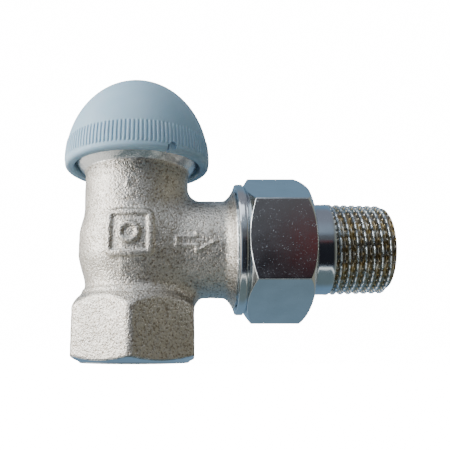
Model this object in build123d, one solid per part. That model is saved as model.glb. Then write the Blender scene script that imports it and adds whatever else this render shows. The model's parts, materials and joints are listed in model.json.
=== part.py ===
from build123d import *
import os
from math import cos, pi, radians, sin

# Angle-pattern thermostatic radiator valve, DN 15, with its protective cap and union tail.
# Frame: origin at the centre of the inlet mouth, +Z up along the stem, +X towards the radiator.
# Lengths are in millimetres. Heights are along Z; "reach" is the distance along X from the stem axis.

# ---- driving dimensions -------------------------------------------------------------------------
OUTLET_HEIGHT = 26.0        # inlet mouth to outlet axis
TAIL_REACH = 58.0           # stem axis to the end of the tailpiece
THREAD_PITCH = 1.814        # pipe threads, 14 turns to the inch
HEAD_THREAD_R = 15.0        # M30 x 1.5 thread that takes the thermostatic head
HEAD_THREAD_DEPTH = 0.4     # from its crest to the plain cylinder that stands for it
VALVE_LIFT = 2.5            # stem travel between open and closed
RUNNING_GAP = 0.05          # radial clearance of a rod in its guide
FIT_GAP = 0.02              # clearance between fixed pieces
MOVING_GAP = 0.3            # clearance between the threads of pieces that move apart
CUTTER_OVERRUN = 1.0        # how far a cutting tool runs past the face it opens

# valve body, outside
HEX_FLATS = 27.0
HEX_TOP = 12.6
HEX_CORNER_ROUNDING = 2.05
HEX_LIMIT_R = 16.0          # outside the hexagon's corners
HEX_TOP_BREAK = 0.7
MOUTH_FACE_R = 11.8
MOUTH_CHAMFER_TOP = 1.96
SHOULDER_R = 12.2
SHOULDER_FOOT = HEX_TOP + 3.1
SHOULDER_TOP = 16.2
BULB_FOOT_R = 11.7
BULB_FOOT = 17.4
BULB_R = 13.33
BULB_HEIGHT = 26.9
NECK_R = 12.26
NECK_FOOT = 34.8
NECK_TOP = 44.2
BODY_TOP = 52.0
BODY_TOP_CHAMFER = 1.0
TUBE_R = 11.4
TUBE_BLEND_R = 3.0
FLANGE_R = 14.5
FLANGE_REACH = 22.9
FLANGE_FLARE = 3.0          # length over which the tube flares into the flange
FLANGE_RIM = 0.3
UNION_THREAD_R = 13.2       # G 3/4 crest
UNION_THREAD_DEPTH = 1.0
BODY_REACH = 32.0

# valve body, inside
INLET_THREAD_R = 9.3        # Rp 1/2 minor radius
INLET_THREAD_LENGTH = 13.5
THROAT_R = 8.2
THROAT_CHAMFER = 0.6
SEAT_WEB_FOOT = 16.6
SEAT_CHAMFER = 1.2
SEAT_HEIGHT = 20.5
SEAT_BORE_R = 5.75
SEAT_LIP = 0.9              # width of the flat that the disc closes on
SEAT_MOAT = 0.9             # depth of the chamber floor round the seat
CHAMBER_R = 10.4
CHAMBER_TOP = 32.5
INSERT_BORE_R = 9.6
INSERT_CHAMFER = 0.6
OUTLET_BORE_R = 8.0
CONE_FOOT_REACH = 28.2
CONE_LAND = 0.6             # plain length between the sealing cone and the outlet's end

# union nut
NUT_FLATS = 30.0
NUT_CORNER_R = NUT_FLATS / 2 / cos(pi / 6)
NUT_START = 23.0
NUT_COLLAR_R = 15.3
NUT_COLLAR_BREAK = 0.4
NUT_COLLAR_END = 24.7
NUT_GROOVE_R = 14.8
NUT_HEX_START = 25.0
NUT_CHAMFER = 1.7
NUT_NOSE_START = 37.35
NUT_NOSE_MIDDLE = (15.2, 39.2)   # radius and reach half-way round the nose
NUT_NOSE_END_R = 11.7
NUT_END = 40.4
NUT_SHOULDER_REACH = 35.5
NUT_BORE_R = 10.9
NUT_EDGE_BREAK = 0.4

# tailpiece
TAIL_R = 10.65
TAIL_SHANK_R = TAIL_R - 0.05
TAIL_BORE_R = 7.9
TAIL_LIP = 0.3              # width of the face round the bore at the cone's small end
TAIL_COLLAR_R = 12.2
TAIL_COLLAR_START = 32.3
TAIL_CONE_END = 31.3
TAIL_CONE_GAP = 0.36        # clearance to the cone in the body
TAIL_GROOVE_REACH = 30.4
TAIL_GROOVE_WIDTH = 1.2     # across each axis of the 45 degree cone
TAIL_GROOVE_DEPTH = 0.75
TAIL_THREAD_START = 44.4
TAIL_THREAD_DEPTH = 1.1
TAIL_NOSE_LENGTH = 0.6
TAIL_NOSE_R = (9.2, 8.8)    # at the last ridge and at the end face
THREAD_TAPER = 1 / 32       # radius lost per length on a 1:16 taper
LUG_REACH = (46.0, 52.0)
LUG_HEIGHT = 1.4
LUG_ROOT = 0.4              # how deep a key lug is rooted in the wall
LUG_WIDTH = 3.0

# protective cap
CAP_FOOT = 45.3
CAP_WAIST = 47.3            # height of the dome's widest place
CAP_TOP = 67.4
CAP_SKIRT_R = 17.25
CAP_FOOT_ROUNDING = 0.6
CAP_BORE_R = HEAD_THREAD_R + RUNNING_GAP
CAP_BORE_CHAMFER = 0.5
CAP_BORE_TOP = 54.7         # stays above the body's top when the cap is screwed down
CAP_STEP = (13.6, 55.4)     # radius and height of the ledge above the cap's thread
CAP_WALL = 2.0
CAP_CEILING = ((4.9, 64.4), (8.9, 61.5), (12.2, 57.7))   # radius and height inside the dome
CAP_HUB_R = 2.6
CAP_WEB_THICKNESS = 1.0
CAP_WEB_REACH = 9.0
CAP_WEB_HEIGHT = 4.0
PIN_TOP = 60.0

# thermostatic insert
HOUSING_R = INSERT_BORE_R - FIT_GAP
HOUSING_FOOT = 31.0
HOUSING_FOOT_CHAMFER = 1.0
HOUSING_GROOVE_HEIGHT = CHAMBER_TOP + 3.2
HOUSING_GROOVE_DEPTH = 1.2
HOUSING_GROOVE_HALF = 0.9
HOUSING_HEX_FLATS = 19.0
HOUSING_HEX_CORNER_R = 11.5
HOUSING_HEX_CHAMFER = (1.4, 0.8)
HOUSING_HEX_TOP = 55.0
SPINDLE_GUIDE_R = 2.0 + RUNNING_GAP
SEAL_POCKET_R = 3.3
SEAL_POCKET = (HOUSING_FOOT + 1.0, HOUSING_FOOT + 2.6)
SPRING_CHAMBER_R = 5.3
SPRING_FLOOR = 34.6
BUSH_R = 5.9
BUSH_FOOT = 48.9
BUSH_TOP = 50.9
GLAND_FLATS = 11.0
GLAND_HEX_CORNER_R = 6.5
GLAND_HEX_CHAMFER = (0.8, 0.5)
GLAND_TOP = 57.0
GLAND_GROOVE_FOOT = 53.2
GLAND_GROOVE_DEPTH = 1.15
GLAND_POCKET_R = 3.2
GLAND_POCKET_TOP = BUSH_TOP + 2.9
PIN_R = 1.5
WASHER_THICKNESS = 0.9

# spindle and spring
SPINDLE_R = SPINDLE_GUIDE_R - RUNNING_GAP
CLIP_GROOVE = (48.15, 48.75)
CLIP_GROOVE_DEPTH = 0.4
CLIP_R = 3.6
CLIP_GAP = 2.2
CUP_RIM_R = 5.1
CUP_SKIRT_R = (3.1, 3.5)
CUP_SKIRT_DEPTH = 1.2
CUP_SHEET = 0.4
SPRING_TOP = 47.2
SPRING_WIRE_R = 0.45
SPRING_COIL_R = 4.2
SPRING_TURNS = 6.5
SPRING_SEAT_GAP = 0.03

# disc assembly
DISC_FACE = SEAT_HEIGHT + VALVE_LIFT + 0.05
DISC_R = 7.2
DISC_THICKNESS = 2.4
HOLDER_R = 8.0
HOLDER_LIP = 0.5            # how much of the disc stands out of its holder
HOLDER_TOP = 28.4
HOLDER_BOSS = ((HOLDER_R, HOLDER_TOP - 1.4), (4.2, HOLDER_TOP - 1.1), (3.6, HOLDER_TOP))
SPINDLE_FOOT = HOLDER_TOP - 2.0
DISC_SCREW_R = 1.2
DISC_SCREW_TOP = 33.0
DISC_SCREW_HEAD_R = 2.4
DISC_SCREW_HEAD = (DISC_FACE - 2.1, DISC_FACE - 0.62)
DISC_SCREW_SLOT = (0.6, 0.7)
DISC_WASHER_R = 3.8
DISC_WASHER_FOOT = DISC_FACE - 0.6

# seal cords, by half their thickness
TAIL_SEAL_CORD_R = 0.58
TAIL_SEAL_INSET = 0.32      # how far its centre lies under the cone, across each axis
HOUSING_SEAL_CORD_R = 0.58
GLAND_SEAL_CORD_R = 0.55
PIN_SEAL_CORD_R = 0.8
SPINDLE_SEAL_CORD_R = 0.6

OUTLET = Location((0, 0, OUTLET_HEIGHT)) * Rotation(0, 90, 0)   # turns a piece from Z onto the outlet axis


# ---- shared shapes ------------------------------------------------------------------------------
def turned(outline):
    """Solid of revolution about Z from (radius, height) corners."""
    edge = Polyline(*[(r, 0, h) for r, h in outline], close=True)
    return revolve(make_face(edge), Axis.Z)


def rod(radius, low, high):
    return Pos(0, 0, low) * Cylinder(radius, high - low, align=(Align.CENTER, Align.CENTER, Align.MIN))


def ring(outer, inner, low, high):
    return rod(outer, low, high) - rod(inner, low - CUTTER_OVERRUN, high + CUTTER_OVERRUN)


def o_ring(centre_r, height, cord_r):
    return Pos(0, 0, height) * Torus(centre_r, cord_r)


def hexagon_bar(flats, low, high, turn=0.0, rounding=0.0):
    """Hexagonal bar along Z; with no turn its flats face -X and +X."""
    outline = RegularPolygon(flats / 2 / cos(pi / 6), 6, rotation=30 + turn)
    if rounding:
        outline = fillet(outline.vertices(), rounding)
    return Pos(0, 0, low) * extrude(outline, high - low)


def chamfered_hexagon(flats, corner_r, chamfer, low, high):
    """Hexagonal bar whose top corners are turned off by a cone."""
    across, down = chamfer
    limit = turned([(0, low), (corner_r, low), (corner_r, high - down), (corner_r - across, high), (0, high)])
    return hexagon_bar(flats, low, high) & limit


def thread_outline(start, end, crest, depth, taper=0.0):
    """(radius, height) corners of a stack of 55 degree thread ridges, from start to end."""
    corners = []
    for ridge in range(int((end - start) / THREAD_PITCH)):
        foot = start + ridge * THREAD_PITCH
        tip = crest - (foot - start) * taper
        for share, radius in ((0.10, tip - depth), (0.42, tip), (0.58, tip), (0.90, tip - depth)):
            corners.append((radius, foot + share * THREAD_PITCH))
    return corners


# ---- valve body ---------------------------------------------------------------------------------
def make_inlet_hexagon():
    limit = turned([
        (0, 0), (MOUTH_FACE_R, 0), (HEX_LIMIT_R, MOUTH_CHAMFER_TOP), (HEX_LIMIT_R, HEX_TOP - HEX_TOP_BREAK),
        (SHOULDER_R, SHOULDER_FOOT), (SHOULDER_R, SHOULDER_TOP), (0, SHOULDER_TOP)])
    return hexagon_bar(HEX_FLATS, 0, SHOULDER_TOP, rounding=HEX_CORNER_ROUNDING) & limit


def make_trunk_and_tube():
    """The bulb and neck about the stem, blended into the outlet tube."""
    low = SHOULDER_TOP - 5
    high = NECK_TOP - 2
    side = Spline(
        (BULB_FOOT_R, 0, low), (BULB_FOOT_R, 0, BULB_FOOT), (BULB_R, 0, BULB_HEIGHT),
        (NECK_R, 0, NECK_FOOT), (NECK_R, 0, high), tangents=[(0, 0, 1), (0, 0, 1)])
    closing = Polyline((NECK_R, 0, high), (0, 0, high), (0, 0, low), (BULB_FOOT_R, 0, low))
    blank = revolve(make_face(side + closing), Axis.Z) + OUTLET * rod(TUBE_R, 0, FLANGE_REACH)
    blend_edges = blank.edges().filter_by(lambda edge: abs(edge.center().Y) > TUBE_R / 2)
    return fillet(blend_edges, TUBE_BLEND_R)


def make_head_connection():
    head_r = HEAD_THREAD_R - HEAD_THREAD_DEPTH
    return turned([
        (0, NECK_TOP - 3), (NECK_R, NECK_TOP - 3), (NECK_R, NECK_TOP), (head_r, NECK_TOP + head_r - NECK_R),
        (head_r, BODY_TOP - BODY_TOP_CHAMFER), (head_r - BODY_TOP_CHAMFER, BODY_TOP), (0, BODY_TOP)])


def make_flange():
    root_r = TUBE_R - 0.05
    core_reach = 18
    start = FLANGE_REACH - FLANGE_FLARE
    rim = FLANGE_REACH - FLANGE_RIM
    foot = Polyline((0, 0, core_reach), (root_r, 0, core_reach), (root_r, 0, start))
    flare = ThreePointArc((root_r, 0, start), (12.35, 0, FLANGE_REACH - 1.1), (FLANGE_R, 0, rim))
    face = Polyline((FLANGE_R, 0, rim), (FLANGE_R, 0, FLANGE_REACH), (0, 0, FLANGE_REACH), (0, 0, core_reach))
    return OUTLET * revolve(make_face(foot + flare + face), Axis.Z)


def make_union_thread():
    root_r = UNION_THREAD_R - UNION_THREAD_DEPTH
    chamfer = 0.4
    ridges = thread_outline(FLANGE_REACH + 0.2, BODY_REACH - 0.6, UNION_THREAD_R, UNION_THREAD_DEPTH)
    return OUTLET * turned(
        [(0, FLANGE_REACH - 1), (root_r, FLANGE_REACH - 1)] + ridges
        + [(root_r, BODY_REACH - 0.1), (root_r - chamfer, BODY_REACH), (0, BODY_REACH)])


def make_inlet_bore():
    """Inlet thread's bore, throat, and the bore through the seat web."""
    return turned([
        (0, -CUTTER_OVERRUN), (INLET_THREAD_R, -CUTTER_OVERRUN), (INLET_THREAD_R, INLET_THREAD_LENGTH),
        (THROAT_R, INLET_THREAD_LENGTH + THROAT_CHAMFER), (THROAT_R, SEAT_WEB_FOOT),
        (SEAT_BORE_R, SEAT_WEB_FOOT + SEAT_CHAMFER), (SEAT_BORE_R, SEAT_HEIGHT + CUTTER_OVERRUN),
        (0, SEAT_HEIGHT + CUTTER_OVERRUN)])


def make_chamber():
    """Everything above the seat: its lip, the moat round it, the chamber and the insert's bore."""
    lip_r = SEAT_BORE_R + SEAT_LIP
    floor = SEAT_HEIGHT - SEAT_MOAT
    moat_slope = 0.6
    corner = 1.2
    mouth_r = INSERT_BORE_R + INSERT_CHAMFER
    return turned([
        (0, SEAT_HEIGHT), (lip_r, SEAT_HEIGHT), (lip_r + moat_slope, floor), (CHAMBER_R - corner, floor),
        (CHAMBER_R, floor + 1.25 * corner), (CHAMBER_R, CHAMBER_TOP), (INSERT_BORE_R, CHAMBER_TOP + 1),
        (INSERT_BORE_R, BODY_TOP - INSERT_CHAMFER), (mouth_r, BODY_TOP), (mouth_r, BODY_TOP + CUTTER_OVERRUN),
        (0, BODY_TOP + CUTTER_OVERRUN)])


def make_outlet_bore():
    """Bore of the outlet tube, opening in the 45 degree cone that the tailpiece seals on."""
    start = CHAMBER_R - 4
    cone_end = BODY_REACH - CONE_LAND
    cone_r = OUTLET_BORE_R + cone_end - CONE_FOOT_REACH
    return OUTLET * turned([
        (0, start), (OUTLET_BORE_R, start), (OUTLET_BORE_R, CONE_FOOT_REACH), (cone_r, cone_end),
        (cone_r, BODY_REACH + CUTTER_OVERRUN), (0, BODY_REACH + CUTTER_OVERRUN)])


def make_valve_body():
    """Forged brass body: inlet hexagon, seat web, chamber, outlet tube, union thread and head thread."""
    outside = make_trunk_and_tube() + make_head_connection() + make_inlet_hexagon()
    outside = outside + make_flange() + make_union_thread()
    return outside - make_inlet_bore() - make_chamber() - make_outlet_bore()


# ---- union nut and tailpiece --------------------------------------------------------------------
def make_nut_outside():
    """Hexagon with a chamfer at the body's end and a rounded nose at the tailpiece's end."""
    limit_r = NUT_CORNER_R + 0.2
    middle_r, middle_reach = NUT_NOSE_MIDDLE
    side = Polyline(
        (0, 0, NUT_HEX_START), (NUT_FLATS / 2 - 0.2, 0, NUT_HEX_START),
        (limit_r, 0, NUT_HEX_START + NUT_CHAMFER), (limit_r, 0, NUT_NOSE_START))
    nose = ThreePointArc(
        (limit_r, 0, NUT_NOSE_START), (middle_r, 0, middle_reach), (NUT_NOSE_END_R, 0, NUT_END))
    closing = Polyline((NUT_NOSE_END_R, 0, NUT_END), (0, 0, NUT_END), (0, 0, NUT_HEX_START))
    limit = revolve(make_face(side + nose + closing), Axis.Z)
    return hexagon_bar(NUT_FLATS, NUT_HEX_START, NUT_END, turn=30) & limit


def make_union_nut():
    """Hexagon union nut: round collar at the body, rounded nose over the tailpiece."""
    rooted = NUT_HEX_START + 0.5
    collar = turned([
        (0, NUT_START), (NUT_COLLAR_R - NUT_COLLAR_BREAK, NUT_START),
        (NUT_COLLAR_R, NUT_START + NUT_COLLAR_BREAK), (NUT_COLLAR_R, NUT_COLLAR_END),
        (NUT_GROOVE_R, NUT_COLLAR_END), (NUT_GROOVE_R, rooted), (0, rooted)])
    thread_r = UNION_THREAD_R + MOVING_GAP
    mouth_r = thread_r + 0.5
    end_r = NUT_BORE_R + NUT_EDGE_BREAK
    bore = turned([
        (0, NUT_START - CUTTER_OVERRUN), (mouth_r, NUT_START - CUTTER_OVERRUN), (mouth_r, NUT_START),
        (thread_r, NUT_START + 0.5), (thread_r, NUT_SHOULDER_REACH), (NUT_BORE_R, NUT_SHOULDER_REACH),
        (NUT_BORE_R, NUT_END - NUT_EDGE_BREAK), (end_r, NUT_END), (end_r, NUT_END + CUTTER_OVERRUN),
        (0, NUT_END + CUTTER_OVERRUN)])
    return OUTLET * (make_nut_outside() + collar - bore)


def tail_cone_radius(reach):
    """Radius of the tailpiece's 45 degree sealing cone, just clear of the cone in the body."""
    return OUTLET_BORE_R + reach - CONE_FOOT_REACH - TAIL_CONE_GAP


def make_key_lugs():
    """Two lugs inside the bore that a stepped key grips to screw the tailpiece into the radiator."""
    low, high = LUG_REACH
    bar = Pos(0, 0, (low + high) / 2) * Box(LUG_WIDTH, 2 * (TAIL_BORE_R + LUG_ROOT), high - low)
    return bar - rod(TAIL_BORE_R - LUG_HEIGHT, low - CUTTER_OVERRUN, high + CUTTER_OVERRUN)


def make_tailpiece():
    """Tailpiece: sealing cone and collar inside the nut, shank, R 1/2 taper thread, key lugs inside."""
    cone_base_r = tail_cone_radius(TAIL_CONE_END)
    small_end_r = TAIL_BORE_R + TAIL_LIP
    small_end = small_end_r - tail_cone_radius(0)
    groove_r = tail_cone_radius(TAIL_GROOVE_REACH)
    half = TAIL_GROOVE_WIDTH / 2
    depth = TAIL_GROOVE_DEPTH
    collar_end = NUT_SHOULDER_REACH - RUNNING_GAP
    outline = [
        (small_end_r, small_end),
        (groove_r - half, TAIL_GROOVE_REACH - half),
        (groove_r - half - depth, TAIL_GROOVE_REACH - half + depth),
        (groove_r + half - depth, TAIL_GROOVE_REACH + half + depth),
        (groove_r + half, TAIL_GROOVE_REACH + half), (cone_base_r, TAIL_CONE_END),
        (cone_base_r, TAIL_COLLAR_START), (TAIL_COLLAR_R, TAIL_COLLAR_START),
        (TAIL_COLLAR_R, collar_end), (TAIL_SHANK_R, collar_end), (TAIL_SHANK_R, TAIL_THREAD_START)]
    outline += thread_outline(TAIL_THREAD_START, TAIL_REACH - 0.9, TAIL_R, TAIL_THREAD_DEPTH, THREAD_TAPER)
    nose_base_r, nose_end_r = TAIL_NOSE_R
    outline += [
        (nose_base_r, TAIL_REACH - TAIL_NOSE_LENGTH), (nose_end_r, TAIL_REACH), (TAIL_BORE_R, TAIL_REACH),
        (TAIL_BORE_R, small_end)]
    return OUTLET * (turned(outline) + make_key_lugs())


def make_tail_o_ring():
    centre_r = tail_cone_radius(TAIL_GROOVE_REACH) - TAIL_SEAL_INSET
    return OUTLET * o_ring(centre_r, TAIL_GROOVE_REACH + TAIL_SEAL_INSET, TAIL_SEAL_CORD_R)


# ---- protective cap -----------------------------------------------------------------------------
def make_cap_shell():
    """Dome with the outline of a quarter ellipse over a plain threaded skirt."""
    rim_r = CAP_SKIRT_R - CAP_FOOT_ROUNDING
    step_r, step_height = CAP_STEP
    skirt = Polyline(
        (CAP_BORE_R, 0, CAP_FOOT + CAP_BORE_CHAMFER), (CAP_BORE_R + CAP_BORE_CHAMFER, 0, CAP_FOOT),
        (rim_r, 0, CAP_FOOT), (CAP_SKIRT_R, 0, CAP_WAIST))
    rise = CAP_TOP - CAP_WAIST
    ellipse = [
        (CAP_SKIRT_R * cos(radians(a)), 0, CAP_WAIST + rise * sin(radians(a))) for a in (0, 22, 44, 66)]
    dome = Spline(*ellipse, (0, 0, CAP_TOP), tangents=[(0, 0, 1), (-1, 0, 0)])
    axis_line = Line((0, 0, CAP_TOP), (0, 0, CAP_TOP - CAP_WALL))
    ceiling = Spline(
        (0, 0, CAP_TOP - CAP_WALL), *[(r, 0, height) for r, height in CAP_CEILING], (step_r, 0, step_height),
        tangents=[(1, 0, 0), (0.25, 0, -1)])
    inside = Polyline(
        (step_r, 0, step_height), (CAP_BORE_R, 0, CAP_BORE_TOP), (CAP_BORE_R, 0, CAP_FOOT + CAP_BORE_CHAMFER))
    return revolve(make_face(skirt + dome + axis_line + ceiling + inside), Axis.Z)


def make_protective_cap():
    """Moulded dome cap with a thread inside its skirt and a webbed hub that presses the pin."""
    ceiling = CAP_TOP - CAP_WALL
    web_foot = PIN_TOP + 1.2
    web_length = 4.4
    hub = rod(CAP_HUB_R, PIN_TOP + FIT_GAP, ceiling + 0.6)
    limit = turned([(0, web_foot), (CAP_WEB_REACH, web_foot), (4.9, ceiling - 0.7), (0, ceiling + 0.5)])
    web = Pos(CAP_HUB_R + 1.0, 0, web_foot + CAP_WEB_HEIGHT / 2) * Box(
        web_length, CAP_WEB_THICKNESS, CAP_WEB_HEIGHT)
    cap = make_cap_shell() + hub
    for quarter in range(4):
        cap += (Rotation(0, 0, 90 * quarter) * web) & limit
    return cap


# ---- thermostatic insert ------------------------------------------------------------------------
def make_insert_housing():
    """Brass insert that screws into the neck and holds the spindle, its seals and the spring."""
    flange_foot = BODY_TOP + FIT_GAP
    groove_low = HOUSING_GROOVE_HEIGHT - HOUSING_GROOVE_HALF
    groove_high = HOUSING_GROOVE_HEIGHT + HOUSING_GROOVE_HALF
    groove_r = HOUSING_R - HOUSING_GROOVE_DEPTH
    outside = turned([
        (0, HOUSING_FOOT), (HOUSING_R - HOUSING_FOOT_CHAMFER, HOUSING_FOOT),
        (HOUSING_R, HOUSING_FOOT + HOUSING_FOOT_CHAMFER), (HOUSING_R, groove_low), (groove_r, groove_low),
        (groove_r, groove_high), (HOUSING_R, groove_high), (HOUSING_R, flange_foot), (0, flange_foot)])
    hexagon = chamfered_hexagon(
        HOUSING_HEX_FLATS, HOUSING_HEX_CORNER_R, HOUSING_HEX_CHAMFER, flange_foot, HOUSING_HEX_TOP)
    pocket_low, pocket_high = SEAL_POCKET
    open_end = HOUSING_HEX_TOP + CUTTER_OVERRUN
    bore = turned([
        (0, HOUSING_FOOT - CUTTER_OVERRUN), (SPINDLE_GUIDE_R, HOUSING_FOOT - CUTTER_OVERRUN),
        (SPINDLE_GUIDE_R, pocket_low), (SEAL_POCKET_R, pocket_low), (SEAL_POCKET_R, pocket_high),
        (SPINDLE_GUIDE_R, pocket_high), (SPINDLE_GUIDE_R, SPRING_FLOOR), (SPRING_CHAMBER_R, SPRING_FLOOR),
        (SPRING_CHAMBER_R, BUSH_FOOT), (BUSH_R + FIT_GAP, BUSH_FOOT), (BUSH_R + FIT_GAP, open_end),
        (0, open_end)])
    return outside + hexagon - bore


def make_insert_o_ring():
    return o_ring(HOUSING_R - HOUSING_GROOVE_DEPTH / 2, HOUSING_GROOVE_HEIGHT, HOUSING_SEAL_CORD_R)


def make_guide_bush():
    return ring(BUSH_R, SPINDLE_GUIDE_R, BUSH_FOOT + FIT_GAP, BUSH_TOP)


def make_gland_nut():
    """Hexagon gland screwed into the housing: carries the pin seal and can be replaced under pressure."""
    foot = BUSH_TOP + FIT_GAP
    foot_chamfer = 0.9
    head_foot = HOUSING_HEX_TOP + FIT_GAP
    groove_r = BUSH_R - GLAND_GROOVE_DEPTH
    shank = turned([
        (0, foot), (BUSH_R - foot_chamfer, foot), (BUSH_R, foot + foot_chamfer), (BUSH_R, GLAND_GROOVE_FOOT),
        (groove_r, GLAND_GROOVE_FOOT), (groove_r, head_foot), (0, head_foot)])
    hexagon = chamfered_hexagon(GLAND_FLATS, GLAND_HEX_CORNER_R, GLAND_HEX_CHAMFER, head_foot, GLAND_TOP)
    pin_r = PIN_R + RUNNING_GAP
    bore = turned([
        (0, BUSH_TOP - CUTTER_OVERRUN), (GLAND_POCKET_R, BUSH_TOP - CUTTER_OVERRUN),
        (GLAND_POCKET_R, GLAND_POCKET_TOP), (pin_r, GLAND_POCKET_TOP), (pin_r, GLAND_TOP + CUTTER_OVERRUN),
        (0, GLAND_TOP + CUTTER_OVERRUN)])
    return shank + hexagon - bore


def make_gland_o_ring():
    return o_ring(BUSH_R - 0.57, (GLAND_GROOVE_FOOT + HOUSING_HEX_TOP) / 2, GLAND_SEAL_CORD_R)


def make_pin_o_ring():
    return o_ring(PIN_R + 0.85, BUSH_TOP + 2.0, PIN_SEAL_CORD_R)


def make_gland_washer():
    low = BUSH_TOP + 0.25
    return ring(GLAND_POCKET_R - RUNNING_GAP, PIN_R + RUNNING_GAP, low, low + WASHER_THICKNESS)


def make_actuating_pin():
    return rod(PIN_R, BUSH_TOP + FIT_GAP, PIN_TOP)


# ---- spindle and spring -------------------------------------------------------------------------
def make_spindle():
    """Stainless spindle from the disc holder up to the foot of the pin, with the circlip groove."""
    groove_low, groove_high = CLIP_GROOVE
    groove_r = SPINDLE_R - CLIP_GROOVE_DEPTH
    chamfer = 0.3
    outside = turned([
        (0, SPINDLE_FOOT), (SPINDLE_R, SPINDLE_FOOT), (SPINDLE_R, groove_low), (groove_r, groove_low),
        (groove_r, groove_high), (SPINDLE_R, groove_high), (SPINDLE_R, BUSH_TOP - chamfer),
        (SPINDLE_R - chamfer, BUSH_TOP), (0, BUSH_TOP)])
    return outside - rod(DISC_SCREW_R + FIT_GAP, SPINDLE_FOOT - CUTTER_OVERRUN, DISC_SCREW_TOP + 0.2)


def make_spindle_o_ring():
    return o_ring(SPINDLE_R + 0.65, sum(SEAL_POCKET) / 2, SPINDLE_SEAL_CORD_R)


def make_spindle_circlip():
    low, high = CLIP_GROOVE
    bore_r = SPINDLE_R - CLIP_GROOVE_DEPTH + FIT_GAP
    clip = ring(CLIP_R, bore_r, low + SPRING_SEAT_GAP, high - SPRING_SEAT_GAP)
    opening = Pos(CLIP_R / 2 + 1, 0, (low + high) / 2) * Box(CLIP_R + 2, CLIP_GAP, 2)
    return clip - opening


def make_spring_cup():
    """Pressed cup between the spring and the circlip, with a short skirt that centres the spring."""
    foot = SPRING_TOP + FIT_GAP
    skirt_in, skirt_out = CUP_SKIRT_R
    bore_r = SPINDLE_R + FIT_GAP
    skirt = turned([
        (bore_r, foot), (skirt_out, foot), (skirt_out, SPRING_TOP - CUP_SKIRT_DEPTH),
        (skirt_in, SPRING_TOP - CUP_SKIRT_DEPTH), (skirt_in, SPRING_TOP - CUP_SHEET),
        (bore_r, SPRING_TOP - CUP_SHEET)])
    return skirt + ring(CUP_RIM_R, bore_r, foot, CLIP_GROOVE[0] - FIT_GAP)


def make_return_spring():
    """Compression spring that lifts the spindle off the seat."""
    low = SPRING_FLOOR + SPRING_WIRE_R + SPRING_SEAT_GAP
    height = SPRING_TOP - SPRING_WIRE_R - SPRING_SEAT_GAP - low
    path = Pos(0, 0, low) * Helix(height / SPRING_TURNS, height, SPRING_COIL_R)
    section = Plane(origin=path @ 0, z_dir=path % 0) * Circle(SPRING_WIRE_R)
    return sweep(section, path, is_frenet=True)


# ---- disc assembly ------------------------------------------------------------------------------
def make_disc_holder():
    """Cup that backs the rubber disc and joins it to the spindle."""
    screw_r = DISC_SCREW_R + FIT_GAP
    recess_r = DISC_R + RUNNING_GAP
    socket_r = SPINDLE_R + FIT_GAP
    recess_top = DISC_FACE + DISC_THICKNESS + FIT_GAP
    socket_floor = SPINDLE_FOOT - FIT_GAP
    rim = DISC_FACE + HOLDER_LIP
    return turned([
        (screw_r, recess_top), (recess_r, recess_top), (recess_r, rim), (HOLDER_R, rim), *HOLDER_BOSS,
        (socket_r, HOLDER_TOP), (socket_r, socket_floor), (screw_r, socket_floor)])


def make_valve_disc():
    return ring(DISC_R, DISC_SCREW_R + FIT_GAP, DISC_FACE, DISC_FACE + DISC_THICKNESS)


def make_disc_washer():
    return ring(DISC_WASHER_R, DISC_SCREW_R + FIT_GAP, DISC_WASHER_FOOT, DISC_FACE - FIT_GAP)


def make_disc_screw():
    low, high = DISC_SCREW_HEAD
    slot_width, slot_depth = DISC_SCREW_SLOT
    head = rod(DISC_SCREW_HEAD_R, low, high)
    slot = Pos(0, 0, low) * Box(2 * DISC_SCREW_HEAD_R + 1, slot_width, 2 * slot_depth)
    return head - slot + rod(DISC_SCREW_R, high - 0.6, DISC_SCREW_TOP)


PIECES = {
    "valve_body": make_valve_body,
    "protective_cap": make_protective_cap,
    "union_nut": make_union_nut,
    "tailpiece": make_tailpiece,
    "tail_o_ring": make_tail_o_ring,
    "insert_housing": make_insert_housing,
    "insert_o_ring": make_insert_o_ring,
    "guide_bush": make_guide_bush,
    "gland_nut": make_gland_nut,
    "gland_o_ring": make_gland_o_ring,
    "pin_o_ring": make_pin_o_ring,
    "gland_washer": make_gland_washer,
    "actuating_pin": make_actuating_pin,
    "spindle": make_spindle,
    "spindle_o_ring": make_spindle_o_ring,
    "spring_cup": make_spring_cup,
    "spindle_circlip": make_spindle_circlip,
    "return_spring": make_return_spring,
    "disc_holder": make_disc_holder,
    "valve_disc": make_valve_disc,
    "disc_washer": make_disc_washer,
    "disc_screw": make_disc_screw,
}

os.makedirs("parts", exist_ok=True)
for name, make_piece in PIECES.items():
    piece = make_piece()
    piece.label = name
    export_step(piece, f"parts/{name}.step")
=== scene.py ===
"""Angle-pattern radiator valve: the looks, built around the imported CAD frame.

Lengths are in millimetres until a mesh is written, in the frame's own axes: origin at the centre
of the inlet mouth, +Z up the stem, +X along the outlet. Shader and light values are in metres.
"""

import json
from math import cos, pi, radians, sin, tan

import bmesh
import bpy
import numpy as np
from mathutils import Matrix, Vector


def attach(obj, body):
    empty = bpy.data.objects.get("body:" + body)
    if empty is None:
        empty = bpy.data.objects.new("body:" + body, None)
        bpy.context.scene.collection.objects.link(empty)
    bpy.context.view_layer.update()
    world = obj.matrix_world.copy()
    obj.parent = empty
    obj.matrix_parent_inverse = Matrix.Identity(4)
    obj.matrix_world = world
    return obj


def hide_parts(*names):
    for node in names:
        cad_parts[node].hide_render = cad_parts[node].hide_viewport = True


MM = 0.001

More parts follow.
